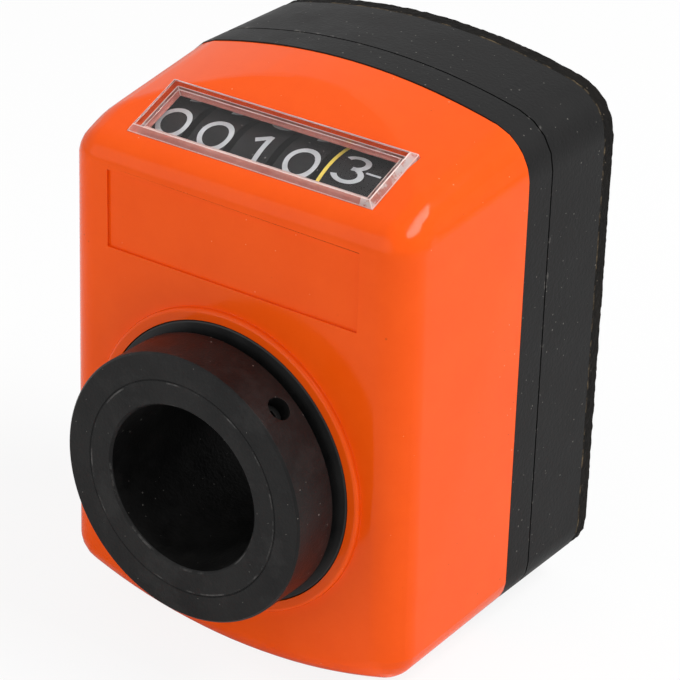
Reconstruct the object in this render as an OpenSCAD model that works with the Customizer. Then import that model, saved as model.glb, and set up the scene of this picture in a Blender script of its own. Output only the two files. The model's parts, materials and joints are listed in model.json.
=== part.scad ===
// Mechanical position indicator with a hollow shaft and a five-drum counter.
// The origin is the shaft's axis at the rear face of the base, +Y points to the rear and +Z up.

/* [Case] */
// Width of the case, which the row of drums and the plates beside it follow
case_w = 48; // [43:0.5:54]
// Height of the top arch above the foot of the window facet
top_rise = 7.8; // [7.4:0.1:8.4]
// Margin of the case below the raised ring round the shaft
bottom_margin = 6.85; // [6:0.05:10]
// Radius of the top arch
top_arch_r = 78.8; // [70:0.2:100]
// Radius of the bottom arch
bottom_arch_r = 64; // [55:0.5:90]
// Radius of the cover's moulded edges
edge_r = 4; // [3:0.25:4.25]
// Wall thickness of the mouldings
wall = 2; // [1.6:0.1:2.2]
// Depth of the rear base
base_d = 10.8; // [10.8:0.1:14]
// Depth of the middle frame
frame_d = 4.8; // [4.6:0.1:5]
// Depth of the front cover
cover_d = 22.25; // [22:0.05:24]
// Draft of the cover's sides at the top, over its depth
cover_draft = 1.1; // [0.5:0.1:1.2]
// Draft of the cover's top over its depth
top_draft = 3.7; // [3:0.1:4]
// Step down from the frame to the cover's top at the seam
seam_drop = 0.2; // [0:0.05:0.4]
// Thickness of the foam gasket
gasket_t = 2; // [1:0.25:4]

/* [Window and label] */
// Wall thickness of the window facet
facet_wall = 1.4; // [1.2:0.1:1.4]
// Slope of the window facet in degrees
facet_slope = 22; // [20:0.5:24]
// Height of the facet's foot above the drum axle
facet_rise = 8; // [7.6:0.1:8.2]
// Margin of the lens beyond the row of drums, on each side
lens_margin = 1.15; // [0.5:0.05:1.5]
// Length of the lens along the facet
lens_l = 9.15; // [8:0.05:9.5]
// Distance of the lens centre from the foot of the facet
lens_at = 7.75; // [7.5:0.05:8]
// Height of the lens above the facet
lens_rise = 0.7; // [0.4:0.1:1]
// Width of the label recess
label_w = 34.3; // [20:0.1:36]
// Height of the label recess
label_h = 9.4; // [5:0.1:9.8]

/* [Shaft] */
// Diameter of the shaft's bore
bore_d = 20; // [16:1:22]
// Wall thickness of the hollow shaft
shaft_wall = 3; // [1.5:0.1:4]
// Wall thickness of the collar
collar_wall = 3.25; // [2.5:0.05:5]
// Length of the collar
collar_l = 6.4; // [6:0.1:10]
// Gap between the collar and the cover's front face
collar_gap = 1.95; // [1.5:0.05:4]
// Diameter of the set screw
set_screw_d = 2.7; // [2:0.1:3]
// Angle of the set screw from the top, toward the right side
set_screw_angle = 41; // [0:1:90]
// Diameter of the torque pin on the rear face
pin_d = 6; // [4:0.5:6]
// Height of the torque pin above the shaft axis
pin_z = 30; // [28:0.5:31]
// Length of the torque pin behind the gasket
pin_l = 6; // [4:0.5:12]

/* [Counter] */
// Height of the drum axle above the outside of the shaft
drum_rise = 12.6; // [12.4:0.1:14]
// Diameter of the number drums
drum_d = 20; // [19.4:0.1:20]
// Gap between the rims of two drums, in which the carry pinions run
gap_x = 0.9; // [0.9:0.05:1]
// Width of the band for scale marks on the last drum
scale_w = 2.4; // [1:0.1:2.6]
// Module of the drum gears and the carry pinions
carry_m = 0.8; // [0.8:0.01:0.82]

/* [Hidden] */
$fn = 64;

// Cutters and overlapping solids run past a face by this much
over = 1;
// Thickness of the slices that a hull joins
slice_t = 0.01;
// Fixed pieces sit in their seats with this play
seat = 0.05;
// Bearing play between turning pieces, on the radius
play = 0.05;

// Stations along the shaft, from the rear face to the front
split_y = -base_d;
seam_y = split_y - frame_d;
front_y = seam_y - cover_d;
collar_rear_y = front_y - collar_gap;
shaft_front_y = collar_rear_y - collar_l;

// Shaft, bushes and the seal round it
bore_r = bore_d / 2;
shaft_r = bore_r + shaft_wall;
shaft_chamfer = 0.3;
collar_r = shaft_r + collar_wall;
collar_chamfer = 0.25;
set_screw_y = shaft_front_y + 3.6;
set_screw_l = 4.2;
bush_r = shaft_r + 2;
bush_l = 5.6;
seal_r = shaft_r + 4.1;
seal_depth = 1.2;
seal_proud = 0.75;
boss_r = seal_r + 1.4;
boss_h = 0.7;
boss_edge = 0.5;
ring_y = split_y + 1.4;
ring_t = 1;
ring_groove = 0.6;
rear_bush_y = ring_y + ring_t + 0.3;
pin_seat_r = pin_d / 2 - 0.5;
pin_root_y = split_y + 3;

// The case outline has corners rounder than the moulded edges, which get sharper toward the cover's front
drum_z = shaft_r + drum_rise;
facet_z = drum_z + facet_rise;
case_top = facet_z + top_rise;
case_bottom = boss_r + bottom_margin;
low_corner_r = edge_r + 1;
top_corner_r = edge_r + 2.2;
cover_top_sharp = 1.8;
cover_low_sharp = 0.7;
corner_min_r = 0.3;
top_arch_z = case_top - top_arch_r;
bottom_arch_z = bottom_arch_r - case_bottom;
arch_steps = 20;
corner_steps = 4;
cavity_inset = wall + cover_draft;
shadow_gap = 0.2;
shadow_depth = 0.5;

// Frame of the crown gear and the pinion that runs on it
crown_teeth = 40;
crown_face = 2.6;
crown_r = shaft_r + crown_face;
crown_hub_t = 2.4;
crown_pitch_y = seam_y + 0.4;
crown_tip = 0.5;
crown_root = 0.7;
pinion_teeth = 10;
pinion_fit = 0.994;
pinion_x = shaft_r + 1.2;
pinion_w = crown_r - pinion_x + 0.1;
pinion_m = pinion_fit * (2 * pinion_x + pinion_w) / crown_teeth;
cluster_y = crown_pitch_y - pinion_teeth * pinion_m / 2;
cluster_z = 0;

// Drum axle, carry axle and the spur gears outside the last drum
drum_r = drum_d / 2;
drum_set_back = 12.55;
drum_y = front_y + drum_set_back;
last_drum = 5;
counter_margin = 18.5;
drum_pitch = (case_w - counter_margin) / last_drum;
rim_w = drum_pitch - gap_x;
last_rim_w = rim_w + scale_w;
plate_t = 1.1;
plate_room = case_w / 2 - cavity_inset - plate_t;
plate_x = plate_room - 0.3;
plate_left_x = 1.8 - plate_room;
first_drum_x = plate_left_x + 1;
rim_t = 1.5;
web_t = 1.6;
hub_r = 3;
face_gear_t = 0.4;
lock_disc_r = 6.9;
notch_r = 1.1;
drum_teeth = 20;
carry_teeth = 8;
carry_play = 0.2;
carry_reach = (drum_teeth + carry_teeth) * carry_m / 2;
carry_angle = -18;
carry_y = drum_y + carry_reach * cos(carry_angle);
carry_z = drum_z + carry_reach * sin(carry_angle);
spur_teeth = 16;
idler_teeth = 20;
spur_w = 1.2;
spur_x = plate_x - spur_w - 0.2;
axle_r = 1.5;
stud_r = 1;
stud_head_r = 1.8;
stud_head_t = 0.5;
carry_axle_r = 0.8;

// The idler reaches both spur gears from a point in front of the line between them
span = [drum_y - cluster_y, drum_z - cluster_z];
half_span = norm(span) / 2;
idler_slack = 1.026;
idler_reach = idler_slack * half_span;
gear_m = 2 * idler_reach / (spur_teeth + idler_teeth);
idler_side = sqrt(idler_reach * idler_reach - half_span * half_span);
idler_y = (drum_y + cluster_y) / 2 - span[1] / norm(span) * idler_side;
idler_z = (drum_z + cluster_z) / 2 + span[0] / norm(span) * idler_side;

// Tooth angles at which each gear meets its neighbour tooth to gap
cluster_phase = 0;
idler_phase = mesh_phase(cluster_phase, spur_teeth, idler_teeth, idler_y - cluster_y, idler_z - cluster_z);
last_phase = mesh_phase(idler_phase, idler_teeth, spur_teeth, drum_y - idler_y, drum_z - idler_z);
carry_phase = mesh_phase(0, drum_teeth, carry_teeth, carry_y - drum_y, carry_z - drum_z);

// Web of the middle frame that the counter's plates stand on
web_z = drum_z + 3.4;
web_y = split_y - 2;
plate_top_z = web_z + 4;
plate_low_z = carry_z - 3;
plate_edge = 4;
plate_front_y = drum_y - plate_edge;
plate_front_z = drum_z + plate_edge + 1;
plate_foot = 2;

// Case screws: two long ones at the bottom, two short ones at the top
low_screw_x = case_w / 2 - 5;
low_screw_z = 10.35 - case_bottom;
top_screw_x = case_w / 2 - 9;
top_screw_z = case_top - 5;
low_screw_end = seam_y - 9;
top_screw_end = seam_y - 3;
screw_places = [
    [-low_screw_x, low_screw_z], [low_screw_x, low_screw_z],
    [-top_screw_x, top_screw_z], [top_screw_x, top_screw_z]
];
screw_boss_r = [3.2, 3.2, 2.2, 2.2];
screw_ends = [low_screw_end, low_screw_end, top_screw_end, top_screw_end];
screw_r = 1.3;
screw_head_r = 2.3;
screw_head_t = 1.7;
screw_head_y = -0.5;

// Lens seat and skirt
counter_w = (last_drum - 1) * drum_pitch + last_rim_w;
lens_w = counter_w + 2 * lens_margin;
lens_plate_t = 0.6;
lens_bevel = 0.6;
skirt_t = 0.6;
skirt_h = facet_wall - 0.1;
lens_roof = 0.3;
skirt_w = lens_w - 1.8;
skirt_l = lens_l - 1.4;
label_depth = 0.35;
label_top_z = facet_z - 2.7;

// Points of an arc round a centre, both ends included
function arc(c, r, from, to, steps) =
    [for (i = [0:steps]) let (a = from + (to - from) * i / steps) c + r * [cos(a), sin(a)]];

// Points of an arc without its two ends
function inner_arc(c, r, from, to, steps) =
    [for (i = [1:steps - 1]) let (a = from + (to - from) * i / steps) c + r * [cos(a), sin(a)]];

// Outline of the case, seen from the front, moved inward by an inset, with rounder or sharper corners
function outline(inset, top_round = 0, low_round = 0) =
    let (
        hw = case_w / 2 - inset,
        top_r = max(top_corner_r + top_round - inset, corner_min_r),
        low_r = max(low_corner_r + low_round - inset, corner_min_r),
        rt = top_arch_r - inset,
        rb = bottom_arch_r - inset,
        tx = hw - top_r,
        bx = hw - low_r,
        tz = top_arch_z + sqrt((rt - top_r) * (rt - top_r) - tx * tx),
        bz = bottom_arch_z - sqrt((rb - low_r) * (rb - low_r) - bx * bx),
        ta = atan2(tz - top_arch_z, tx),
        ba = atan2(bottom_arch_z - bz, bx)
    )
    concat(
        arc([tx, tz], top_r, 0, ta, corner_steps),
        inner_arc([0, top_arch_z], rt, ta, 180 - ta, arch_steps),
        arc([-tx, tz], top_r, 180 - ta, 180, corner_steps),
        arc([-bx, bz], low_r, 180, 180 + ba, corner_steps),
        inner_arc([0, bottom_arch_z], rb, 180 + ba, 360 - ba, arch_steps),
        arc([bx, bz], low_r, 360 - ba, 360, corner_steps)
    );

// Outline of the cover's core at a share of its depth: its draft grows from the bottom to the top
function drafted(points, share) =
    [for (p = points) let (up = (p[1] + case_bottom) / (case_top + case_bottom))
        [p[0] * (1 - share * 2 * cover_draft / case_w * up), p[1] - (seam_drop + share * top_draft) * up]];

// Tooth angle of a second gear that takes a tooth of the first into a gap, at an offset of dy and dz
function mesh_phase(phase, teeth, other_teeth, dy, dz) =
    let (a = atan2(dz, dy), turns = (a - phase) * teeth / 360)
    a + 180 - (0.5 - turns) * 360 / other_teeth;

// Outline of a gear with straight-sided teeth
function gear_points(teeth, m, phase) =
    let (
        r = teeth * m / 2,
        tip = r + 0.8 * m,
        root = r - 1.05 * m,
        tip_a = 0.12 * PI * m / tip * 180 / PI,
        root_a = 0.24 * PI * m / root * 180 / PI
    )
    [for (k = [0:teeth - 1], corner = [[root, -root_a], [tip, -tip_a], [tip, tip_a], [root, root_a]])
        let (a = phase + k * 360 / teeth + corner[1]) corner[0] * [cos(a), sin(a)]];

// Left edge of a drum's number rim
function rim_x(i) = first_drum_x + (i - 1) * drum_pitch;
function rim_width(i) = i == last_drum ? last_rim_w : rim_w;

// Extrudes a front view from one station to another
module along_y(from, to) {
    translate([0, to, 0]) rotate([90, 0, 0]) linear_extrude(to - from) children();
}

// Extrudes a side view, drawn as Y and Z, from one side position to another
module along_x(from, to) {
    translate([from, 0, 0]) rotate([90, 0, 90]) linear_extrude(to - from) children();
}

// Round bar along the shaft
module bar_y(r, from, to) {
    translate([0, to, 0]) rotate([90, 0, 0]) cylinder(r = r, h = to - from);
}

// Round bar along the counter
module bar_x(r, from, to) {
    translate([from, 0, 0]) rotate([0, 90, 0]) cylinder(r = r, h = to - from);
}

// Moves to the foot of the window facet, with local Z along its normal
module on_facet() {
    translate([0, front_y, facet_z]) rotate([facet_slope, 0, 0]) children();
}

// Everything above the facet moved inward by a depth
module above_facet(depth) {
    on_facet() translate([-case_w, -case_w, -depth]) cube([2 * case_w, 3 * case_w, 2 * case_w]);
}

// Thin slice of the cover's core, shrunk by the edge radius and drafted for that station
module core_slice(y) {
    share = (seam_y - y) / cover_d;
    core = outline(edge_r, -cover_top_sharp * share, -cover_low_sharp * share);
    along_y(y - slice_t, y) polygon(drafted(core, share));
}

// Drafted outer form of the cover with all its edges rounded
module cover_form() {
    intersection() {
        minkowski() {
            difference() {
                hull() {
                    core_slice(front_y + edge_r + slice_t);
                    core_slice(seam_y + over);
                }
                above_facet(edge_r);
            }
            sphere(r = edge_r, $fn = 28);
        }
        translate([-case_w, front_y - over, -case_w]) cube([2 * case_w, cover_d + over, 3 * case_w]);
    }
}

// Hollow of the cover
module cover_cavity() {
    difference() {
        along_y(front_y + wall, seam_y + over) polygon(outline(cavity_inset));
        above_facet(facet_wall);
    }
}

// Raised ring round the shaft opening, with its outer edge rounded
module cover_boss() {
    translate([0, front_y + wall, 0]) rotate([90, 0, 0]) rotate_extrude() polygon(concat(
        [[0, 0], [boss_r, 0]],
        arc([boss_r - boss_edge, wall + boss_h - boss_edge], boss_edge, 0, 90, 4),
        [[0, wall + boss_h]]
    ));
}

// Places its child at each case screw
module at_screws(places) {
    for (i = places) translate([screw_places[i][0], 0, screw_places[i][1]]) children();
}

module front_cover() {
    color("orangered") difference() {
        union() {
            difference() {
                cover_form();
                cover_cavity();
            }
            for (i = [0:3]) {
                at_screws([i]) bar_y(screw_boss_r[i], screw_ends[i] - 0.8, seam_y);
            }
            cover_boss();
            bar_y(bush_r + 2, front_y + wall / 2, front_y + seal_depth + bush_l);
        }
        bar_y(bush_r + seat, front_y - over, front_y + cover_d);
        bar_y(seal_r + seat, front_y - boss_h - over, front_y + seal_depth);
        for (i = [0:3]) {
            at_screws([i]) bar_y(screw_r + seat, screw_ends[i] - 0.4, seam_y + over);
        }
        on_facet() translate([-skirt_w / 2 - seat, lens_at - skirt_l / 2 - seat, -2 * wall])
            cube([skirt_w + 2 * seat, skirt_l + 2 * seat, 3 * wall]);
        on_facet() translate([-lens_w / 2 - seat, lens_at - lens_l / 2 - seat, -lens_plate_t])
            cube([lens_w + 2 * seat, lens_l + 2 * seat, wall]);
        along_y(front_y - over, front_y + label_depth) translate([-label_w / 2, label_top_z - label_h])
            square([label_w, label_h]);
    }
}

module window_lens() {
    color("white", 0.4) on_facet() translate([0, lens_at, 0]) difference() {
        union() {
            translate([-lens_w / 2, -lens_l / 2, -lens_plate_t]) cube([lens_w, lens_l, lens_plate_t]);
            translate([-skirt_w / 2, -skirt_l / 2, -skirt_h]) cube([skirt_w, skirt_l, skirt_h]);
            hull() {
                translate([-lens_w / 2, -lens_l / 2, -0.1]) cube([lens_w, lens_l, 0.1]);
                translate([-lens_w / 2 + lens_bevel, -lens_l / 2 + lens_bevel, 0])
                    cube([lens_w - 2 * lens_bevel, lens_l - 2 * lens_bevel, lens_rise]);
            }
        }
        translate([-skirt_w / 2 + skirt_t, -skirt_l / 2 + skirt_t, -skirt_h - over])
            cube([skirt_w - 2 * skirt_t, skirt_l - 2 * skirt_t, skirt_h + over - lens_roof]);
    }
}

module middle_frame() {
    color("dimgray") difference() {
        union() {
            along_y(seam_y, split_y - shadow_gap) difference() {
                polygon(outline(0));
                polygon(outline(wall));
            }
            along_y(split_y - shadow_gap - seat, split_y) difference() {
                polygon(outline(shadow_depth));
                polygon(outline(wall));
            }
            along_y(web_y, split_y) intersection() {
                polygon(outline(wall / 2));
                translate([-case_w, web_z]) square(2 * case_w);
            }
            at_screws([0, 1]) bar_y(screw_boss_r[0], seam_y, split_y);
        }
        at_screws([0, 1, 2, 3]) bar_y(screw_r + 2 * seat, seam_y - over, split_y + over);
    }
}

module rear_base() {
    color("dimgray") difference() {
        union() {
            difference() {
                along_y(split_y, 0) polygon(outline(0));
                along_y(split_y - over, -wall) polygon(outline(wall));
            }
            bar_y(bush_r + 2, rear_bush_y, -wall / 2);
            translate([0, 0, pin_z]) bar_y(pin_d / 2 + 2, pin_root_y - 1, -wall / 2);
            for (i = [0:3]) {
                at_screws([i]) bar_y(screw_head_r + 1.2, split_y, -wall / 2);
            }
        }
        bar_y(bush_r + seat, split_y - over, over);
        translate([0, 0, pin_z]) bar_y(pin_seat_r + seat / 2, pin_root_y, over);
        at_screws([0, 1, 2, 3]) bar_y(screw_r + 2 * seat, split_y - over, over);
        at_screws([0, 1, 2, 3]) bar_y(screw_head_r + 2 * seat, screw_head_y - screw_head_t, over);
    }
}

module rear_gasket() {
    color("black") along_y(0, gasket_t) difference() {
        polygon(outline(0));
        circle(r = bush_r + 2);
        translate([0, pin_z]) circle(r = pin_d / 2 + 2 * seat);
    }
}

// Shouldered pin: the thin end sits in the base, the thick end stands out behind the gasket
module torque_pin() {
    color("silver") translate([0, 0, pin_z]) union() {
        bar_y(pin_seat_r, pin_root_y, gasket_t + seat);
        bar_y(pin_d / 2, gasket_t, gasket_t + pin_l);
    }
}

module front_seal() {
    color("black") difference() {
        bar_y(seal_r, front_y - seal_proud, front_y + seal_depth);
        bar_y(shaft_r + 2 * play, front_y - seal_proud - over, front_y + seal_depth + over);
    }
}

// Plain bearing round the shaft
module bush(from, to) {
    color("goldenrod") difference() {
        bar_y(bush_r, from, to);
        bar_y(shaft_r + play, from - over, to + over);
    }
}

module front_bush() {
    bush(front_y + seal_depth, front_y + seal_depth + bush_l);
}

module rear_bush() {
    bush(rear_bush_y, -0.4);
}

module counter_bracket_left() {
    color("lightgray") along_x(plate_left_x - plate_t, plate_left_x) difference() {
        polygon([
            [plate_front_y, drum_z - plate_edge], [carry_y - plate_foot, plate_low_z], [web_y, plate_low_z],
            [web_y, plate_top_z], [plate_front_y, plate_front_z]
        ]);
        translate([drum_y, drum_z]) circle(r = axle_r + seat / 2);
        translate([carry_y, carry_z]) circle(r = carry_axle_r + seat / 2);
    }
}

module counter_bracket_right() {
    color("lightgray") along_x(plate_x, plate_x + plate_t) difference() {
        polygon([
            [cluster_y - plate_edge, cluster_z - plate_edge],
            [cluster_y + plate_foot, cluster_z - plate_edge], [carry_y + plate_foot / 2, plate_low_z],
            [web_y, plate_low_z], [web_y, plate_top_z], [plate_front_y, plate_front_z],
            [idler_y - plate_edge, idler_z + plate_foot], [idler_y - plate_edge, idler_z - plate_edge]
        ]);
        translate([drum_y, drum_z]) circle(r = axle_r + seat / 2);
        translate([carry_y, carry_z]) circle(r = carry_axle_r + seat / 2);
        translate([idler_y, idler_z]) circle(r = stud_r + seat / 2);
        translate([cluster_y, cluster_z]) circle(r = stud_r + seat / 2);
    }
}

module counter_axle() {
    color("silver") translate([0, drum_y, drum_z]) bar_x(axle_r, plate_left_x - plate_t, plate_x + plate_t);
}

module carry_axle() {
    color("silver") translate([0, carry_y, carry_z])
        bar_x(carry_axle_r, plate_left_x - plate_t, plate_x + plate_t);
}

// Pin in the right plate with a head that keeps its gear on
module stud(head_x) {
    color("silver") union() {
        bar_x(stud_r, head_x, plate_x + plate_t);
        bar_x(stud_head_r, head_x - stud_head_t, head_x);
    }
}

module cluster_stud() {
    translate([0, cluster_y, cluster_z]) stud(pinion_x - carry_play);
}

module idler_stud() {
    translate([0, idler_y, idler_z]) stud(spur_x - carry_play);
}

module case_screws() {
    color("silver") for (i = [0:3]) {
        at_screws([i]) union() {
            bar_y(screw_r, screw_ends[i], screw_head_y);
            bar_y(screw_head_r, screw_head_y - screw_head_t, screw_head_y);
        }
    }
}

// Radial hole or screw through the collar, between two radii
module radial(r, from, to) {
    translate([0, set_screw_y, 0]) rotate([0, set_screw_angle, 0]) translate([0, 0, from])
        cylinder(r = r, h = to - from);
}

// Ring round the shaft axis with its two outer edges chamfered
module chamfered_ring(inner, outer, from, to, chamfer) {
    translate([0, to, 0]) rotate([90, 0, 0]) rotate_extrude() polygon([
        [inner, 0], [outer - chamfer, 0], [outer, chamfer],
        [outer, to - from - chamfer], [outer - chamfer, to - from], [inner, to - from]
    ]);
}

module hollow_shaft() {
    color("dimgray") difference() {
        bar_y(shaft_r, shaft_front_y, 0);
        bar_y(bore_r, shaft_front_y - over, over);
        translate([0, shaft_front_y + shaft_chamfer, 0]) rotate([90, 0, 0])
            cylinder(r1 = bore_r, r2 = bore_r + shaft_chamfer + over, h = shaft_chamfer + over);
        radial(set_screw_d / 2 + seat, bore_r - over, shaft_r + over);
        difference() {
            bar_y(shaft_r + over, ring_y - seat, ring_y + ring_t + seat);
            bar_y(shaft_r - ring_groove, ring_y - over, ring_y + ring_t + over);
        }
    }
}

module clamp_collar() {
    color("dimgray") difference() {
        chamfered_ring(shaft_r + seat / 2, collar_r, shaft_front_y, collar_rear_y, collar_chamfer);
        radial(set_screw_d / 2 + seat, shaft_r - over, collar_r + over);
    }
}

module set_screw() {
    color("dimgray") difference() {
        radial(set_screw_d / 2, bore_r + 0.4, bore_r + 0.4 + set_screw_l);
        radial(set_screw_d / 4, bore_r + set_screw_l - 1.2, bore_r + set_screw_l + over, $fn = 6);
    }
}

// Face gear on the shaft: radial teeth that point to the front
module crown_gear() {
    pitch = 2 * PI * (pinion_x + pinion_w / 2) / crown_teeth;
    root_y = crown_pitch_y + crown_root;
    tip_y = crown_pitch_y - crown_tip;
    color("goldenrod") union() {
        difference() {
            bar_y(crown_r, root_y, root_y + crown_hub_t);
            bar_y(shaft_r + seat / 2, root_y - over, root_y + crown_hub_t + over);
        }
        for (k = [0:crown_teeth - 1]) {
            rotate([0, k * 360 / crown_teeth, 0]) along_x(pinion_x - carry_play, crown_r - carry_play)
                polygon([
                    [root_y + seat, -0.24 * pitch], [root_y + seat, 0.24 * pitch],
                    [tip_y, 0.12 * pitch], [tip_y, -0.12 * pitch]
                ]);
        }
    }
}

module retaining_ring() {
    color("silver") difference() {
        bar_y(shaft_r + 1.4, ring_y, ring_y + ring_t);
        bar_y(shaft_r - ring_groove + seat / 2, ring_y - over, ring_y + ring_t + over);
        translate([-1.5, ring_y - over, -2 * shaft_r]) cube([3, ring_t + 2 * over, 2 * shaft_r]);
    }
}

module cluster_gear() {
    color("white") translate([0, cluster_y, cluster_z]) difference() {
        union() {
            along_x(pinion_x, pinion_x + pinion_w)
                polygon(gear_points(pinion_teeth, pinion_m, 180 / pinion_teeth));
            bar_x(2.5, pinion_x + pinion_w - seat, spur_x + seat);
            along_x(spur_x, spur_x + spur_w) polygon(gear_points(spur_teeth, gear_m, cluster_phase));
        }
        bar_x(stud_r + play, pinion_x - over, plate_x);
    }
}

module idler_gear() {
    color("white") translate([0, idler_y, idler_z]) difference() {
        along_x(spur_x, spur_x + spur_w) polygon(gear_points(idler_teeth, gear_m, idler_phase));
        bar_x(stud_r + play, spur_x - over, plate_x);
    }
}

// Rim, web and hub of a drum, turned about the counter axle
module drum_body(x, w) {
    translate([x, 0, 0]) rotate([0, 90, 0]) rotate_extrude($fn = 96) polygon([
        [axle_r + play, 0], [hub_r, 0], [hub_r, w - web_t], [drum_r - rim_t, w - web_t],
        [drum_r - rim_t, 0], [drum_r, 0], [drum_r, w], [axle_r + play, w]
    ]);
}

// Left side of a drum: disc that locks the carry pinion, with the notch that lets it step
module lock_disc(x) {
    translate([x - face_gear_t, 0, 0]) difference() {
        bar_x(lock_disc_r, 0, face_gear_t + 1);
        bar_x(axle_r + play, -over, face_gear_t + 2);
        translate([0, 0, -lock_disc_r]) bar_x(notch_r, -over, face_gear_t + 2);
    }
}

module number_drum(i) {
    x = rim_x(i);
    end_x = x + rim_width(i);
    color("dimgray") translate([0, drum_y, drum_z]) union() {
        drum_body(x, rim_width(i));
        if (i > 1) {
            lock_disc(x);
        }
        if (i < last_drum) {
            difference() {
                along_x(end_x - seat, end_x + face_gear_t) polygon(gear_points(drum_teeth, carry_m, 0));
                bar_x(axle_r + play, x, end_x + over);
            }
        } else {
            difference() {
                union() {
                    bar_x(hub_r, end_x - seat, spur_x + seat);
                    along_x(spur_x, spur_x + spur_w) polygon(gear_points(spur_teeth, gear_m, last_phase));
                }
                bar_x(axle_r + play, x, plate_x);
            }
        }
    }
}

module number_drum_1() { number_drum(1); }
module number_drum_2() { number_drum(2); }
module number_drum_3() { number_drum(3); }
module number_drum_4() { number_drum(4); }
module number_drum_5() { number_drum(5); }

// Small pinion between two drums, in mesh with the gear of the left one
module carry_pinion(i) {
    x = rim_x(i) + rim_w + carry_play;
    color("white") translate([0, carry_y, carry_z]) difference() {
        along_x(x, x + gap_x - 2 * carry_play) polygon(gear_points(carry_teeth, carry_m, carry_phase));
        bar_x(carry_axle_r + play, x - over, x + gap_x);
    }
}

module carry_pinion_1() { carry_pinion(1); }
module carry_pinion_2() { carry_pinion(2); }
module carry_pinion_3() { carry_pinion(3); }
module carry_pinion_4() { carry_pinion(4); }

front_cover();
window_lens();
middle_frame();
rear_base();
rear_gasket();
torque_pin();
front_seal();
front_bush();
rear_bush();
counter_bracket_left();
counter_bracket_right();
counter_axle();
carry_axle();
cluster_stud();
idler_stud();
case_screws();
hollow_shaft();
clamp_collar();
set_screw();
crown_gear();
retaining_ring();
cluster_gear();
idler_gear();
number_drum_1();
number_drum_2();
number_drum_3();
number_drum_4();
number_drum_5();
carry_pinion_1();
carry_pinion_2();
carry_pinion_3();
carry_pinion_4();
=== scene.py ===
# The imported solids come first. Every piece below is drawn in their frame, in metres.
import json
import math

import bmesh
import bpy
from mathutils import Matrix, Vector, noise


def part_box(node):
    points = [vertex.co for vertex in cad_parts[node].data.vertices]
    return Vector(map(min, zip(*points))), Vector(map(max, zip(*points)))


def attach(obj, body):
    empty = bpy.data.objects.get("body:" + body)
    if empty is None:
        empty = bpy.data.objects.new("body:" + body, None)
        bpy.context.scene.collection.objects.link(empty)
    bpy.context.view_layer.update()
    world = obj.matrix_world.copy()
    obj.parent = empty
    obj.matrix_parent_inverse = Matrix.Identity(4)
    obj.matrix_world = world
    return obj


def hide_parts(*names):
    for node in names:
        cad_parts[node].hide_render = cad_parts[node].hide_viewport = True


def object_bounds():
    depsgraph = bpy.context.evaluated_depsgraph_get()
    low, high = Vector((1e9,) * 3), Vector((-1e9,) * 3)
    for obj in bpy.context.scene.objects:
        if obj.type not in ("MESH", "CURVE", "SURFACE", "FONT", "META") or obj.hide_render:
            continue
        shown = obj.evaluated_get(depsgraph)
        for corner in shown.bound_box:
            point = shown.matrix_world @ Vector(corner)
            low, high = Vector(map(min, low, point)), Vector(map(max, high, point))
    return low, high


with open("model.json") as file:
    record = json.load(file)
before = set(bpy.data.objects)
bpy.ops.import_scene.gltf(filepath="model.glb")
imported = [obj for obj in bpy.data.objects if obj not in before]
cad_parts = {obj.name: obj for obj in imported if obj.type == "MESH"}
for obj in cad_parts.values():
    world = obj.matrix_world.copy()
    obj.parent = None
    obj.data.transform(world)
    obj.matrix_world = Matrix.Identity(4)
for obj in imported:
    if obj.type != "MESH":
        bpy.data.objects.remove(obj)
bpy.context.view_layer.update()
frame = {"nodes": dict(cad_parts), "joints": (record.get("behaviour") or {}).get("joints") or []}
nodes = frame["nodes"]
mm = 0.001
scene = bpy.context.scene
scene.view_settings.view_transform = "Standard"


# The rear base and the middle frame are black mouldings with a fine satin texture, screwed
# together. Pale dust sits in the texture and in the narrow gap that runs round between the two.
dust_colour = (0.4, 0.38, 0.35)
split_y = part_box("middle_frame")[1].y
split_dust_w = 0.4 * mm
bump_depth = 0.2 * mm
weld_gap = 0.002 * mm
flat_angle = math.radians(0.6)
sharp_angle = math.radians(35)


def node(tree, kind, **values):
    """Adds a shader node and sets its properties and inputs, with _ for a space in a name."""
    made = tree.nodes.new(kind)
    for name, value in values.items():
        if hasattr(made, name):
            setattr(made, name, value)
        else:
            made.inputs[name.replace("_", " ")].default_value = value
    return made


def calc(tree, operation, *values):
    """The result of a math node on one to three values, each a socket or a number."""
    made = node(tree, "ShaderNodeMath", operation=operation)
    for socket, value in zip(made.inputs, values):
        if isinstance(value, (int, float)):
            socket.default_value = value
        else:
            tree.links.new(value, socket)
    return made.outputs[0]


def new_group(name, inputs, outputs):
    """An empty node group with its two end nodes. The inputs are given with their defaults."""
    group = bpy.data.node_groups.new(name, "ShaderNodeTree")
    for label, value in inputs.items():
        socket = group.interface.new_socket(label, in_out="INPUT", socket_type="NodeSocketFloat")
        socket.default_value = value
    for label in outputs:
        group.interface.new_socket(label, in_out="OUTPUT", socket_type="NodeSocketFloat")
    return group, node(group, "NodeGroupInput"), node(group, "NodeGroupOutput")


# Grain: fine noise for a bump, and slow patches for colour and gloss
grain, grain_in, grain_out = new_group("surface_grain", {"Scale": 2000.0}, ["Height", "Patches"])
grain_place = node(grain, "ShaderNodeTexCoord").outputs["Object"]
grain_fine = node(grain, "ShaderNodeTexNoise", Detail=3.0)
grain_slow = node(grain, "ShaderNodeTexNoise", Scale=140.0, Detail=6.0, Roughness=0.7)
grain.links.new(grain_place, grain_fine.inputs["Vector"])
grain.links.new(grain_place, grain_slow.inputs["Vector"])
grain.links.new(grain_in.outputs["Scale"], grain_fine.inputs["Scale"])
grain.links.new(grain_fine.outputs["Fac"], grain_out.inputs["Height"])
grain.links.new(grain_slow.outputs["Fac"], grain_out.inputs["Patches"])

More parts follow.
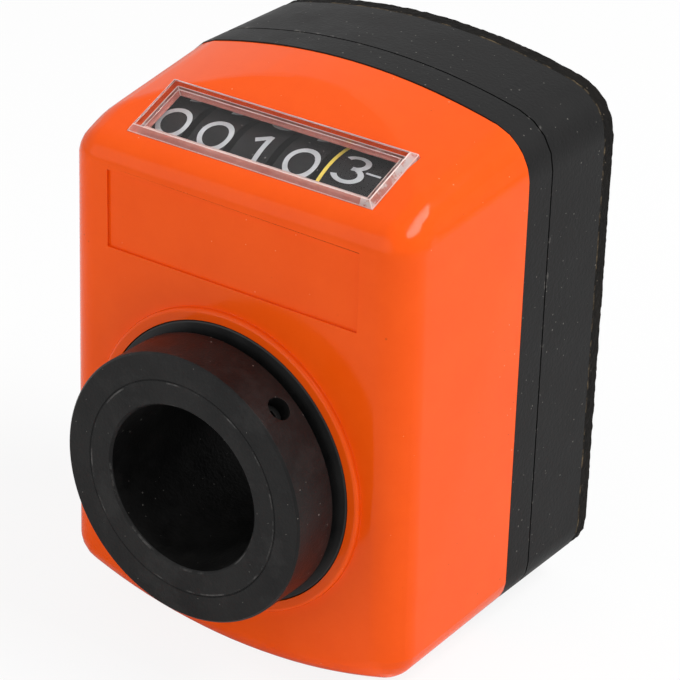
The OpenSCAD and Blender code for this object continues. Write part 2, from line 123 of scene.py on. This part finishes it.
# Specks: small dots of uneven size, one in some of the cells, more of them in some areas
dots_scale = 1250.0
dot_least = 0.04
dot_spread = 0.1
specks, specks_in, specks_out = new_group("specks", {"Scale": dots_scale, "Share": 0.1}, ["Dots"])
specks_place = node(specks, "ShaderNodeTexCoord").outputs["Object"]
specks_cells = node(specks, "ShaderNodeTexVoronoi")
specks_areas = node(specks, "ShaderNodeTexNoise", Scale=120.0, Detail=2.0)
specks_parts = node(specks, "ShaderNodeSeparateColor")
specks.links.new(specks_place, specks_cells.inputs["Vector"])
specks.links.new(specks_place, specks_areas.inputs["Vector"])
specks.links.new(specks_in.outputs["Scale"], specks_cells.inputs["Scale"])
specks.links.new(specks_cells.outputs["Color"], specks_parts.inputs["Color"])
specks_size = calc(specks, "MULTIPLY_ADD", specks_parts.outputs["Green"], dot_spread, dot_least)
specks_dot = calc(specks, "LESS_THAN", specks_cells.outputs["Distance"], specks_size)
specks_near = calc(specks, "MULTIPLY", specks_areas.outputs["Fac"], specks_in.outputs["Share"])
specks_pick = calc(specks, "LESS_THAN", specks_parts.outputs["Red"], specks_near)
specks.links.new(calc(specks, "MULTIPLY", specks_dot, specks_pick), specks_out.inputs["Dots"])


def finish_material(name, dark, light, rough, bump, grain_scale, **sockets):
    """A finish whose colour, gloss and bump vary over the surface."""
    made = bpy.data.materials.new(name)
    made.use_nodes = True
    tree = made.node_tree
    shader = tree.nodes["Principled BSDF"]
    for label, value in sockets.items():
        shader.inputs[label.replace("_", " ")].default_value = value
    surface = node(tree, "ShaderNodeGroup", node_tree=grain, Scale=grain_scale)
    spread = node(tree, "ShaderNodeMapRange", From_Min=0.3, From_Max=0.7)
    colour = node(tree, "ShaderNodeMix", data_type="RGBA", A=(*dark, 1), B=(*light, 1))
    gloss = node(tree, "ShaderNodeMapRange", To_Min=rough[0], To_Max=rough[1])
    relief = node(tree, "ShaderNodeBump", Strength=bump, Distance=bump_depth)
    tree.links.new(surface.outputs["Patches"], spread.inputs["Value"])
    tree.links.new(spread.outputs["Result"], colour.inputs["Factor"])
    tree.links.new(spread.outputs["Result"], gloss.inputs["Value"])
    tree.links.new(surface.outputs["Height"], relief.inputs["Height"])
    tree.links.new(colour.outputs["Result"], shader.inputs["Base Color"])
    tree.links.new(gloss.outputs["Result"], shader.inputs["Roughness"])
    tree.links.new(relief.outputs["Normal"], shader.inputs["Normal"])
    return made


def tint(material, masks, colour, strength=1.0):
    """Mixes one more colour into a finish where all the masks are high."""
    tree = material.node_tree
    amount = strength
    for mask in masks:
        amount = calc(tree, "MULTIPLY", mask, amount)
    target = tree.nodes["Principled BSDF"].inputs["Base Color"]
    mix = node(tree, "ShaderNodeMix", data_type="RGBA", B=(*colour, 1))
    tree.links.new(target.links[0].from_socket, mix.inputs["A"])
    tree.links.new(amount, mix.inputs["Factor"])
    tree.links.new(mix.outputs["Result"], target)


def add_dots(material, colour, share, strength, scale=dots_scale):
    """Scatters dust or specks over a finish."""
    dots = node(material.node_tree, "ShaderNodeGroup", node_tree=specks, Scale=scale, Share=share)
    tint(material, [dots.outputs["Dots"]], colour, strength)


def axes_of(tree):
    """The place on the piece, as three values."""
    axes = node(tree, "ShaderNodeSeparateXYZ")
    tree.links.new(node(tree, "ShaderNodeTexCoord").outputs["Object"], axes.inputs[0])
    return axes.outputs


def stains(tree, scale, level):
    """A mask of irregular patches with soft edges, where a noise is above a level."""
    place = node(tree, "ShaderNodeTexCoord").outputs["Object"]
    patches = node(tree, "ShaderNodeTexNoise", Scale=scale, Detail=6.0, Roughness=0.7)
    soft = node(tree, "ShaderNodeMapRange", From_Min=level, From_Max=level + 0.12)
    tree.links.new(place, patches.inputs["Vector"])
    tree.links.new(patches.outputs["Fac"], soft.inputs["Value"])
    return soft.outputs["Result"]


def band(tree, value, middle, half):
    """A mask that is 1 where a value is within a half width of the middle, else 0."""
    off = calc(tree, "ABSOLUTE", calc(tree, "SUBTRACT", value, middle))
    return calc(tree, "LESS_THAN", off, half)


def dress(name, material, edge, smooth=True):
    """Gives a solid its finish, and breaks its sharp edges by a small radius in millimetres."""
    piece = nodes[name]
    piece.data.materials.clear()
    piece.data.materials.append(material)
    if smooth:
        piece.data.shade_smooth()
    else:
        piece.data.shade_flat()
    weld = piece.modifiers.new("weld", "WELD")
    weld.merge_threshold = weld_gap
    flats = piece.modifiers.new("flats", "DECIMATE")
    flats.decimate_type = "DISSOLVE"
    flats.angle_limit = flat_angle
    rounded = piece.modifiers.new("edges", "BEVEL")
    rounded.width = edge * mm
    rounded.segments = 3
    rounded.limit_method = "ANGLE"
    rounded.angle_limit = sharp_angle
    rounded.miter_outer = "MITER_ARC"
    if smooth:
        normals = piece.modifiers.new("normals", "WEIGHTED_NORMAL")
        normals.weight = 100
        normals.keep_sharp = True


black_plastic = finish_material(
    "black_plastic", dark=(0.0055, 0.0055, 0.0057), light=(0.0125, 0.0122, 0.0122),
    rough=(0.45, 0.6), bump=0.2, grain_scale=2400, Specular_IOR_Level=0.1,
)
add_dots(black_plastic, dust_colour, share=0.8, strength=0.3)
black_tree = black_plastic.node_tree
split_near = band(black_tree, axes_of(black_tree)["Y"], split_y, split_dust_w)
split_dust = stains(black_tree, scale=700.0, level=0.58)
tint(black_plastic, [split_near, split_dust], dust_colour, strength=0.25)
dress("rear_base", black_plastic, edge=0.12)
dress("middle_frame", black_plastic, edge=0.06)


# The rear gasket is die-cut from black foam and glued on the base. Its cut edge is ragged, so its
# outline is drawn anew from the solid's own outline, with small bites and fibres all round.
fibre_colour = (0.22, 0.18, 0.13)
glue_colour = (0.1, 0.075, 0.045)
glue_w = 0.3 * mm
gasket_low, gasket_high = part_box("rear_gasket")
gasket_mid_z = 8 * mm
gasket_layers = 4
gasket_step = 0.4 * mm
gasket_rough = 0.1 * mm
gasket_flat_angle = 0.02
level_gap = 0.1 * mm
cut_snap = 1e-7
pin_low, pin_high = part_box("torque_pin")
pin_hole_z = (pin_low.z + pin_high.z) / 2
pin_hole_r = pin_high.x + 0.1 * mm
shaft_hole_r = 17 * mm
hole_reach = 0.2 * mm

# The ragged edge is a sum of two waves (height and fineness of each) less an inset, with
# heights and inset in parts of gasket_rough
gasket_waves = ((0.4, 420), (1.0, 1700))
gasket_inset = 0.3


def in_hole(place):
    """True for a point on the rim of one of the gasket's two holes."""
    from_shaft = math.hypot(place.x, place.z) - shaft_hole_r
    from_pin = math.hypot(place.x, place.z - pin_hole_z) - pin_hole_r
    return min(from_shaft, from_pin) < hole_reach


def cut_in_layers(mesh, low, high, count):
    """Cuts a mesh across Y into layers of one thickness."""
    for k in range(1, count):
        level = low + (high - low) * k / count
        whole = mesh.verts[:] + mesh.edges[:] + mesh.faces[:]
        bmesh.ops.bisect_plane(
            mesh, geom=whole, dist=cut_snap, plane_co=(0, level, 0), plane_no=(0, 1, 0)
        )


def new_piece(name, mesh, material, body):
    """Makes an object of a finished mesh and lets it ride with a body."""
    data = bpy.data.meshes.new(name)
    mesh.to_mesh(data)
    mesh.free()
    data.materials.append(material)
    piece = bpy.data.objects.new(name, data)
    scene.collection.objects.link(piece)
    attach(piece, body)
    return piece


cad_gasket = nodes["rear_gasket"]
gasket = bmesh.new()
gasket.from_mesh(cad_gasket.data)
bmesh.ops.transform(gasket, matrix=cad_gasket.matrix_world, verts=gasket.verts[:])
bmesh.ops.remove_doubles(gasket, verts=gasket.verts[:], dist=weld_gap)
bmesh.ops.dissolve_limit(
    gasket, angle_limit=gasket_flat_angle, verts=gasket.verts[:], edges=gasket.edges[:]
)
rim = []
for edge in gasket.edges:
    first, second = (v.co for v in edge.verts)
    is_level = abs(first.y - second.y) < level_gap
    is_outer = not in_hole(first) and not in_hole(second)
    if is_level and is_outer and edge.calc_length() > gasket_step:
        rim.append(edge)
for edge in rim:
    bmesh.ops.subdivide_edges(gasket, edges=[edge], cuts=int(edge.calc_length() / gasket_step))
bmesh.ops.triangulate(gasket, faces=gasket.faces[:])
cut_in_layers(gasket, gasket_low.y, gasket_high.y, gasket_layers)
for v in gasket.verts:
    if not in_hole(v.co):
        outward = Vector((v.co.x, 0, v.co.z - gasket_mid_z)).normalized()
        wave = sum(height * noise.noise(v.co * fine) for height, fine in gasket_waves)
        v.co += outward * gasket_rough * (wave - gasket_inset)
bmesh.ops.recalc_face_normals(gasket, faces=gasket.faces[:])

# The foam is dull, with pale fibres all over and brown stains of glue close to the base
foam = finish_material(
    "foam", dark=(0.003, 0.003, 0.003), light=(0.014, 0.0125, 0.011),
    rough=(0.85, 1.0), bump=0.9, grain_scale=1500, Specular_IOR_Level=0.1,
)
add_dots(foam, fibre_colour, share=0.6, strength=0.5)
foam_tree = foam.node_tree
glue_near = calc(foam_tree, "LESS_THAN", axes_of(foam_tree)["Y"], gasket_low.y + glue_w)
tint(foam, [glue_near, stains(foam_tree, scale=420.0, level=0.48)], glue_colour)
foam_gasket = new_piece("foam_gasket", gasket, foam, "housing")
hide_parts("rear_gasket")


# The torque pin, screws, plates, axles and studs are plain bright steel, brushed by handling.
# The bushes and the crown gear are bearing bronze.
plain_steel = finish_material(
    "plain_steel", dark=(0.42, 0.42, 0.43), light=(0.58, 0.58, 0.59),
    rough=(0.24, 0.4), bump=0.06, grain_scale=3000, Metallic=1.0,
)
for name in (
    "torque_pin", "case_screws", "counter_bracket_left", "counter_bracket_right", "counter_axle",
    "carry_axle", "cluster_stud", "idler_stud", "retaining_ring",
):
    dress(name, plain_steel, edge=0.08)
bronze = finish_material(
    "bronze", dark=(0.42, 0.26, 0.1), light=(0.55, 0.36, 0.15),
    rough=(0.3, 0.45), bump=0.06, grain_scale=2600, Metallic=1.0,
)
for name in ("front_bush", "rear_bush", "crown_gear"):
    dress(name, bronze, edge=0.06)


# The small gears and the carry pinions are moulded in off-white plastic. They turn on
# the steel studs and on the carry axle, behind the cover.
carry_count = 4
white_plastic = finish_material(
    "white_plastic", dark=(0.62, 0.61, 0.57), light=(0.75, 0.74, 0.7),
    rough=(0.35, 0.5), bump=0.06, grain_scale=2000, IOR=1.5,
)
carry_pinions = [f"carry_pinion_{i}" for i in range(1, carry_count + 1)]
for name in ["cluster_gear", "idler_gear"] + carry_pinions:
    dress(name, white_plastic, edge=0.04)


# The five number drums are moulded in black, with pale digits printed round the rims. The last
# drum is wider: it has a yellow ring on its left edge and a short mark beside each digit.
last_drum = 5
shown = [0, 0, 1, 0, 3]
step_angle = 36.0
read_angle = 26.6
last_read_angle = 19.2
digit_x = 2.95 * mm
digit_half_w = 1.82 * mm
digit_half_h = 1.97 * mm
digit_stroke = 0.62 * mm
mark_x = (4.85 * mm, 6.75 * mm)
mark_w = 0.25 * mm
ring_w = 0.45 * mm
ring_steps = 128
arc_steps = 40
print_step = 0.3 * mm
print_lift = 0.02 * mm
print_t = 0.02 * mm

# Each digit is a set of arcs (centre, radii, start and end angle) and bars (two ends),
# in halves of the digit's width and height
digit_arcs = {
    0: [((0, 0), (1, 1), 0, 360)],
    2: [((0, 0.42), (0.85, 0.58), 165, -35)],
    3: [((0, 0.5), (0.78, 0.5), 155, -90), ((0, -0.48), (0.92, 0.52), 90, -160)],
    5: [((-0.05, -0.35), (0.92, 0.65), 130, -155)],
    6: [((0, -0.35), (0.88, 0.65), 0, 360), ((0.75, -0.35), (1.63, 1.35), 100, 180)],
    8: [((0, 0.48), (0.74, 0.52), 0, 360), ((0, -0.48), (0.92, 0.52), 0, 360)],
    9: [((0, 0.35), (0.88, 0.65), 0, 360), ((-0.75, 0.35), (1.63, 1.35), -80, 0)],
}
digit_bars = {
    1: [((0.25, -1.15), (0.25, 1.15)), ((0.25, 1.05), (-0.62, 0.55))],
    2: [((0.74, 0.14), (-0.88, -1)), ((-1, -1), (0.95, -1))],
    4: [((0.4, -1.15), (0.4, 1.1)), ((0.4, 1.0), (-0.95, -0.4)), ((-1, -0.4), (1, -0.4))],
    5: [((0.8, 1), (-0.62, 1)), ((-0.6, 1.1), (-0.66, 0.1))],
    7: [((-0.95, 1), (0.95, 1)), ((0.85, 1), (-0.3, -1.1))],
}


def add_arc(mesh, centre, radii, start, end):
    """A flat arc of the print: a short edge spun round, then stretched to the two radii."""
    halves = (digit_half_w, digit_half_h)
    place = [c * h for c, h in zip(centre, halves)]
    reach = [r * h for r, h in zip(radii, halves)]
    half = digit_stroke / sum(reach)
    across = mesh.edges.new([mesh.verts.new((1 - half, 0, 0)), mesh.verts.new((1 + half, 0, 0))])
    old = set(mesh.verts) - set(across.verts)
    to_start = Matrix.Rotation(math.radians(start), 3, "Z")
    bmesh.ops.rotate(mesh, verts=across.verts[:], cent=(0, 0, 0), matrix=to_start)
    bmesh.ops.spin(
        mesh, geom=[across, *across.verts], cent=(0, 0, 0), axis=(0, 0, 1),
        angle=math.radians(end - start), steps=arc_steps, use_merge=abs(end - start) == 360,
    )
    fresh = [v for v in mesh.verts if v not in old]
    bmesh.ops.scale(mesh, verts=fresh, vec=(*reach, 1))
    bmesh.ops.translate(mesh, verts=fresh, vec=(*place, 0))


def add_bar(mesh, first, second, width):
    """A flat bar of the print between two points: a unit square, stretched and turned."""
    first, second = Vector((*first, 0)), Vector((*second, 0))
    along = second - first
    turn = Matrix.Rotation(math.atan2(along.y, along.x), 4, "Z")
    grow = Matrix.Diagonal((along.length, width, 1, 1))
    place = Matrix.Translation((first + second) / 2) @ turn @ grow
    bmesh.ops.create_grid(mesh, x_segments=1, y_segments=1, size=0.5, matrix=place)


def wrap_on_drum(mesh, x, angle, axis, radius):
    """Thickens a flat print, drawn in X and Y, and bends it round a drum, an angle from the top."""
    low = min(v.co.y for v in mesh.verts)
    high = max(v.co.y for v in mesh.verts)
    cut_in_layers(mesh, low, high, max(2, round((high - low) / print_step)))
    bmesh.ops.recalc_face_normals(mesh, faces=mesh.faces[:])
    bmesh.ops.solidify(mesh, geom=mesh.faces[:], thickness=print_t)
    base = min(v.co.z for v in mesh.verts)
    for v in mesh.verts:
        a = math.radians(angle) - v.co.y / radius
        reach = radius + print_lift + v.co.z - base
        v.co = Vector((x + v.co.x, axis[1] - reach * math.sin(a), axis[2] + reach * math.cos(a)))
    bmesh.ops.recalc_face_normals(mesh, faces=mesh.faces[:])


drum_plastic = finish_material(
    "drum_plastic", dark=(0.008, 0.008, 0.009), light=(0.018, 0.018, 0.019),
    rough=(0.4, 0.55), bump=0.12, grain_scale=2200, Specular_IOR_Level=0.2,
)
add_dots(drum_plastic, dust_colour, share=0.25, strength=0.6)
digit_ink = finish_material(
    "digit_ink", dark=(0.48, 0.51, 0.53), light=(0.64, 0.67, 0.69),
    rough=(0.45, 0.6), bump=0.1, grain_scale=2500,
)
ring_ink = finish_material(
    "ring_ink", dark=(0.85, 0.62, 0.07), light=(0.95, 0.76, 0.14),
    rough=(0.4, 0.55), bump=0.1, grain_scale=2500,
)
joints = {j["child"]: j for j in frame["joints"]}
for i in range(1, last_drum + 1):
    body = f"drum_{i}"
    dress(f"number_drum_{i}", drum_plastic, edge=0.06)
    axis = joints[body]["pos_m"]
    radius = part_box(f"number_drum_{i}")[1].z - axis[2]
    first_angle = last_read_angle if i == last_drum else read_angle
    printed = bmesh.new()
    for value in range(10):
        flat = bmesh.new()
        for arc in digit_arcs.get(value, []):
            add_arc(flat, *arc)
        for bar in digit_bars.get(value, []):
            ends = [(p[0] * digit_half_w, p[1] * digit_half_h) for p in bar]
            add_bar(flat, *ends, digit_stroke)
        if i == last_drum:
            add_bar(flat, *[(x - digit_x, 0) for x in mark_x], mark_w)
        angle = first_angle + step_angle * (value - shown[i - 1])
        wrap_on_drum(flat, axis[0] + digit_x, angle, axis, radius)
        bent = bpy.data.meshes.new("bent")
        flat.to_mesh(bent)
        flat.free()
        printed.from_mesh(bent)
        bpy.data.meshes.remove(bent)
    digits = new_piece(f"drum_{i}_digits", printed, digit_ink, body)

# The yellow ring lies on the last drum, with the axis and radius that the loop ends on
ring = bmesh.new()
upright = Matrix.Translation(axis) @ Matrix.Rotation(math.radians(90), 4, "Y")
bmesh.ops.create_circle(ring, segments=ring_steps, radius=radius + print_lift, matrix=upright)
wide = bmesh.ops.extrude_edge_only(ring, edges=ring.edges[:])["geom"]
far_rim = [g for g in wide if isinstance(g, bmesh.types.BMVert)]
bmesh.ops.translate(ring, verts=far_rim, vec=(ring_w, 0, 0))
bmesh.ops.recalc_face_normals(ring, faces=ring.faces[:])
bmesh.ops.solidify(ring, geom=ring.faces[:], thickness=-print_t)
yellow_ring = new_piece("drum_5_ring", ring, ring_ink, body)


# The front cover is one glossy moulding in orange. Its big faces are smooth with a trace of
# mould texture, a few dark specks and a little pale dust, and its edges are slightly broken.
speck_colour = (0.3, 0.03, 0.004)
pale_dust_colour = (0.95, 0.45, 0.25)
orange_plastic = finish_material(
    "orange_plastic", dark=(0.86, 0.086, 0.003), light=(0.9, 0.098, 0.005),
    rough=(0.11, 0.16), bump=0.015, grain_scale=1400, IOR=1.5, Specular_IOR_Level=0.12,
)
add_dots(orange_plastic, speck_colour, share=0.04, strength=0.5)
add_dots(orange_plastic, pale_dust_colour, share=0.1, strength=0.45, scale=1500)
dress("front_cover", orange_plastic, edge=0.2)


# The lens is one clear moulding with bevelled sides, pressed into the cover over the drums.
# Its flat faces are polished. Its sides and foot are slightly frosted by the mould and tinted pink,
# a painted reflection of the orange cover seen through them. Its edges are painted pale as
# painted highlights, and its right end is painted whiter in streaks, a painted highlight.
facet_tilt = math.radians(22)
facet_out = Vector((0, -math.sin(facet_tilt), math.cos(facet_tilt)))
facet_facing = 0.98
lens_end_w = 1.7 * mm
lens_end_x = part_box("window_lens")[1].x - lens_end_w
glare_streak_colour = (1.0, 0.95, 0.93)
face_slot, side_slot, edge_slot = range(3)
clear_plastic = finish_material(
    "clear_plastic", dark=(0.93, 0.92, 0.92), light=(0.98, 0.98, 0.98),
    rough=(0.02, 0.05), bump=0.02, grain_scale=900, Transmission_Weight=1.0, IOR=1.2,
)
# Painted reflection: the pink of the frosted sides stands in for the orange cover seen through them
frosted_painted_glare = finish_material(
    "frosted_painted_glare", dark=(0.66, 0.2, 0.155), light=(0.94, 0.5, 0.42),
    rough=(0.06, 0.22), bump=0.15, grain_scale=1200, Transmission_Weight=0.64, IOR=1.3,
)
# Painted highlight: the bevel faces get a pale, half-clear finish that stands in for light on the
# edges
painted_edge_glints = finish_material(
    "painted_edge_glints", dark=(0.9, 0.62, 0.56), light=(1.0, 0.93, 0.9),
    rough=(0.05, 0.15), bump=0.1, grain_scale=1200, Transmission_Weight=0.35, IOR=1.4,
)
# Painted highlight: the frosted faces at the lens's right end turn whiter in streaks
glare_tree = frosted_painted_glare.node_tree
lens_glare_end = calc(glare_tree, "GREATER_THAN", axes_of(glare_tree)["X"], lens_end_x)
glare_streaks = stains(glare_tree, scale=650.0, level=0.4)
tint(frosted_painted_glare, [lens_glare_end, glare_streaks], glare_streak_colour)
dress("window_lens", clear_plastic, edge=0.08, smooth=False)
lens = nodes["window_lens"]
lens.data.materials.append(frosted_painted_glare)
lens.data.materials.append(painted_edge_glints)
# The bevels of the lens take the pale finish of the painted edge highlights
lens.modifiers["edges"].material = edge_slot
lens.modifiers["flats"].delimit = {"MATERIAL"}
for face in lens.data.polygons:
    is_side = abs(face.normal.dot(facet_out)) < facet_facing
    face.material_index = side_slot if is_side else face_slot


# The shaft seal is a plain black rubber ring pressed into the cover round the shaft,
# so only its front edge stands out. It has a soft, even sheen.
seal_rubber = finish_material(
    "seal_rubber", dark=(0.006, 0.006, 0.0065), light=(0.014, 0.014, 0.014),
    rough=(0.42, 0.58), bump=0.12, grain_scale=1800, Specular_IOR_Level=0.3,
)
dress("front_seal", seal_rubber, edge=0.25)


# The hollow shaft and its collar are turned from steel and blackened. The blackening is a little
# uneven, with pale dust, smudges, and pale broken rings on the edges that are partly rubbed wear
# and partly painted highlight. A set screw pins the collar.
bore_r = 10 * mm
shaft_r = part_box("hollow_shaft")[1].x
joint_w = 0.12 * mm
rub_and_glint_w = 0.09 * mm
rub_and_glint_colour = (0.07, 0.068, 0.066)
joint_colour = (0.0008, 0.0008, 0.0008)
smudge_colour = (0.022, 0.0215, 0.021)
blackened_steel = finish_material(
    "blackened_steel", dark=(0.004, 0.004, 0.0042), light=(0.012, 0.0117, 0.0114),
    rough=(0.34, 0.5), bump=0.2, grain_scale=2600, Specular_IOR_Level=0.15,
)
add_dots(blackened_steel, dust_colour, share=0.65, strength=0.4)

# Broken pale rings at the bore and at the shaft's end, partly rubbed wear and partly painted
# highlight, a dark joint to the collar, and smudges
wear = blackened_steel.node_tree
wear_axes = axes_of(wear)
across = calc(wear, "MULTIPLY", wear_axes["X"], wear_axes["X"])
upward = calc(wear, "MULTIPLY", wear_axes["Z"], wear_axes["Z"])
from_axis = calc(wear, "SQRT", calc(wear, "ADD", across, upward))
bore_rub_and_glint = band(wear, from_axis, bore_r + 2 * rub_and_glint_w, rub_and_glint_w)
end_rub_and_glint = band(wear, from_axis, shaft_r - joint_w - rub_and_glint_w, rub_and_glint_w)
rubs_and_glints = calc(wear, "MAXIMUM", bore_rub_and_glint, end_rub_and_glint)
tint(blackened_steel, [rubs_and_glints, stains(wear, scale=300.0, level=0.5)], rub_and_glint_colour)
tint(blackened_steel, [band(wear, from_axis, shaft_r, joint_w)], joint_colour)
tint(blackened_steel, [stains(wear, scale=170.0, level=0.52)], smudge_colour, strength=0.45)
dress("hollow_shaft", blackened_steel, edge=0.2)
dress("clamp_collar", blackened_steel, edge=0.2)
dress("set_screw", blackened_steel, edge=0.08)


# The floor is a wide pale sheet under the part, as in a light tent. It stays nearly white
# to the camera and takes a soft shadow.
floor_half = 3.0
floor_gap = 0.05 * mm
floor_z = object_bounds()[0].z - floor_gap
floor_colour = (0.9, 0.9, 0.9, 1)
floor_glow = 0.88
floor_mesh = bmesh.new()
bmesh.ops.create_grid(floor_mesh, x_segments=1, y_segments=1, size=floor_half)
bmesh.ops.translate(floor_mesh, verts=floor_mesh.verts[:], vec=(0, 0, floor_z))
floor_data = bpy.data.meshes.new("floor")
floor_mesh.to_mesh(floor_data)
floor_mesh.free()
floor = bpy.data.objects.new("floor", floor_data)
scene.collection.objects.link(floor)
floor_finish = bpy.data.materials.new("floor_finish")
floor_finish.use_nodes = True
floor_tree = floor_finish.node_tree
floor_shader = floor_tree.nodes["Principled BSDF"]
floor_shader.inputs["Base Color"].default_value = floor_colour
floor_shader.inputs["Roughness"].default_value = 0.9
floor_light = node(floor_tree, "ShaderNodeEmission", Strength=1.0)
floor_seen = node(floor_tree, "ShaderNodeLightPath").outputs["Is Camera Ray"]
floor_mix = node(floor_tree, "ShaderNodeMixShader")
floor_tree.links.new(calc(floor_tree, "MULTIPLY", floor_seen, floor_glow), floor_mix.inputs[0])
floor_tree.links.new(floor_shader.outputs[0], floor_mix.inputs[1])
floor_tree.links.new(floor_light.outputs[0], floor_mix.inputs[2])
floor_tree.links.new(floor_mix.outputs[0], floor_tree.nodes["Material Output"].inputs["Surface"])
floor_data.materials.append(floor_finish)


# The light is a soft studio: a pale room all round, a soft lamp above the right side and a
# large weak one in front. The room is brighter to the eye and in reflections than it shines.
room_shine = 0.45
room_seen = 1.0
lamp_target = (0, -20 * mm, 8 * mm)
world = bpy.data.worlds.new("studio")
scene.world = world
world.use_nodes = True
sky_tree = world.node_tree
sky = sky_tree.nodes["Background"]
sky.inputs["Color"].default_value = (1, 1, 1, 1)
sky_rays = node(sky_tree, "ShaderNodeLightPath").outputs
sky_seen = calc(sky_tree, "MAXIMUM", sky_rays["Is Camera Ray"], sky_rays["Is Glossy Ray"])
sky_seen = calc(sky_tree, "MAXIMUM", sky_seen, sky_rays["Is Transmission Ray"])
sky_level = node(sky_tree, "ShaderNodeMapRange", To_Min=room_shine, To_Max=room_seen)
sky_tree.links.new(sky_seen, sky_level.inputs["Value"])
sky_tree.links.new(sky_level.outputs["Result"], sky.inputs["Strength"])


def soft_lamp(name, place, wide, tall, power):
    """An oval area lamp, aimed at the middle of the part."""
    data = bpy.data.lights.new(name, "AREA")
    data.shape = "ELLIPSE"
    data.size = wide
    data.size_y = tall
    data.energy = power
    lamp = bpy.data.objects.new(name, data)
    scene.collection.objects.link(lamp)
    aim = (Vector(lamp_target) - Vector(place)).to_track_quat("-Z", "Y")
    lamp.matrix_world = Matrix.Translation(place) @ aim.to_matrix().to_4x4()


soft_lamp("key", place=(0.4, 0.12, 0.57), wide=0.48, tall=0.24, power=4.0)
soft_lamp("front_fill", place=(-0.2, -0.75, 0.14), wide=1.0, tall=1.0, power=2.9)


# The camera stands where the photograph was taken: in front, to the right and above.
# It is turned from the front by two angles and rolled a little.
camera_az = math.radians(35.168)
camera_el = math.radians(27.185)
camera_roll = math.radians(1.637)
camera_at = Vector((178.796, -270.236, 166.070)) * mm
right = Vector((math.cos(camera_az), math.sin(camera_az), 0))
back = Vector((
    math.sin(camera_az) * math.cos(camera_el),
    -math.cos(camera_az) * math.cos(camera_el),
    math.sin(camera_el),
))
up = back.cross(right)
rolled_right = right * math.cos(camera_roll) + up * math.sin(camera_roll)
rolled_up = up * math.cos(camera_roll) - right * math.sin(camera_roll)
camera_data = bpy.data.cameras.new("camera")
camera_data.sensor_width = 36
camera_data.lens = 158.5
camera_data.clip_start = 0.01
camera = bpy.data.objects.new("camera", camera_data)
scene.collection.objects.link(camera)
turn = Matrix((rolled_right, rolled_up, back)).transposed().to_4x4()
camera.matrix_world = Matrix.Translation(camera_at) @ turn
scene.camera = camera
